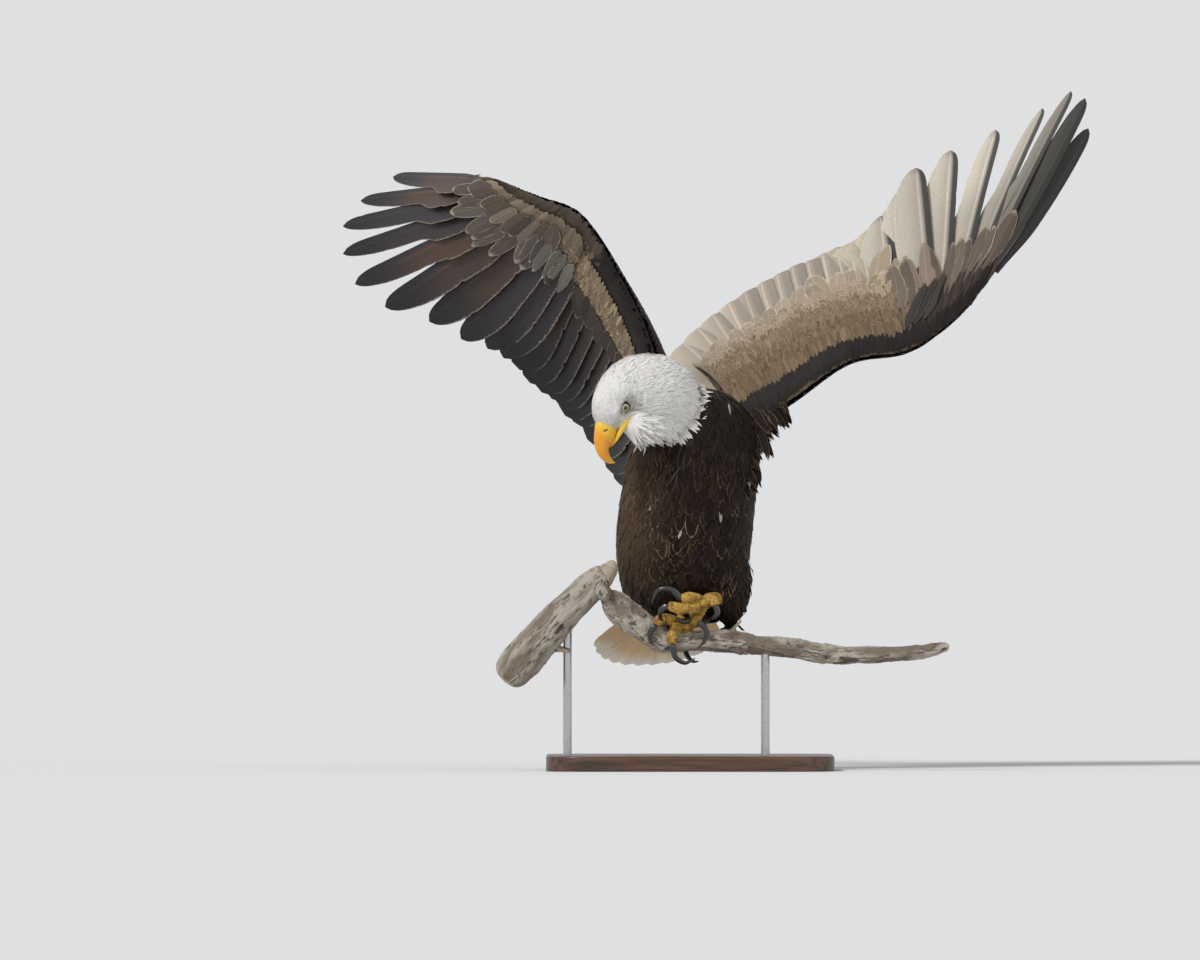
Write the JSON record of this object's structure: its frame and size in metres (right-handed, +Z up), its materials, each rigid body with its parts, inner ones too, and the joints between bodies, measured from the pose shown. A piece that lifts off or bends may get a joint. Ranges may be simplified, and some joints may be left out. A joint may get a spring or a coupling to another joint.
{
  "type": "bald eagle model, life size, wings raised, on a branch perch with a display stand",
  "caption": "Still life-size bald eagle with raised wings and lowered head, gripping a cut length of dead branch held on two short rods over a flat base.",
  "frame": {"origin": "middle of the underside of the stand's base", "axes": "+Z up, -Y the side that the bird's breast faces, +X the bird's left; the branch runs along X"},
  "size_m": [1.2085, 0.6778, 1.0929],
  "materials": {
    "base_wood": "satin lacquered dark wood",
    "rod_steel": "brushed",
    "bark": "weathered grey bark and bare dead wood",
    "bill": "satin horn",
    "eye": "polished",
    "white_plumage": "soft feather",
    "dark_plumage": "soft feather",
    "wing_coverts": "soft feather",
    "flight_feathers": "stiff feather, faint sheen",
    "tail_feathers": "stiff feather",
    "foot_skin": "scaly skin",
    "claw": "polished horn"
  },
  "bodies": {
    "root": {"stand_base": "base_wood", "stand_rod_right": "rod_steel", "stand_rod_left": "rod_steel", "perch_limb": "bark", "perch_branch": "bark", "bill_upper": "bill", "bill_lower": "bill", "eye_left": "eye", "eye_right": "eye", "head": "white_plumage", "neck": "white_plumage", "trunk": "dark_plumage", "thigh_right": "dark_plumage", "thigh_left": "dark_plumage", "foot_right": "foot_skin", "foot_left": "foot_skin", "claw_right_1": "claw", "claw_right_2": "claw", "claw_right_3": "claw", "claw_right_4": "claw", "claw_left_1": "claw", "claw_left_2": "claw", "claw_left_3": "claw", "claw_left_4": "claw", "upper_arm_left": "wing_coverts", "forearm_left": "wing_coverts", "hand_left": "wing_coverts", "primaries_left": "flight_feathers", "secondaries_left": "flight_feathers", "upper_arm_right": "wing_coverts", "forearm_right": "wing_coverts", "hand_right": "wing_coverts", "primaries_right": "flight_feathers", "secondaries_right": "flight_feathers", "rump": "white_plumage", "tail": "tail_feathers"}
  },
  "joints": []
}
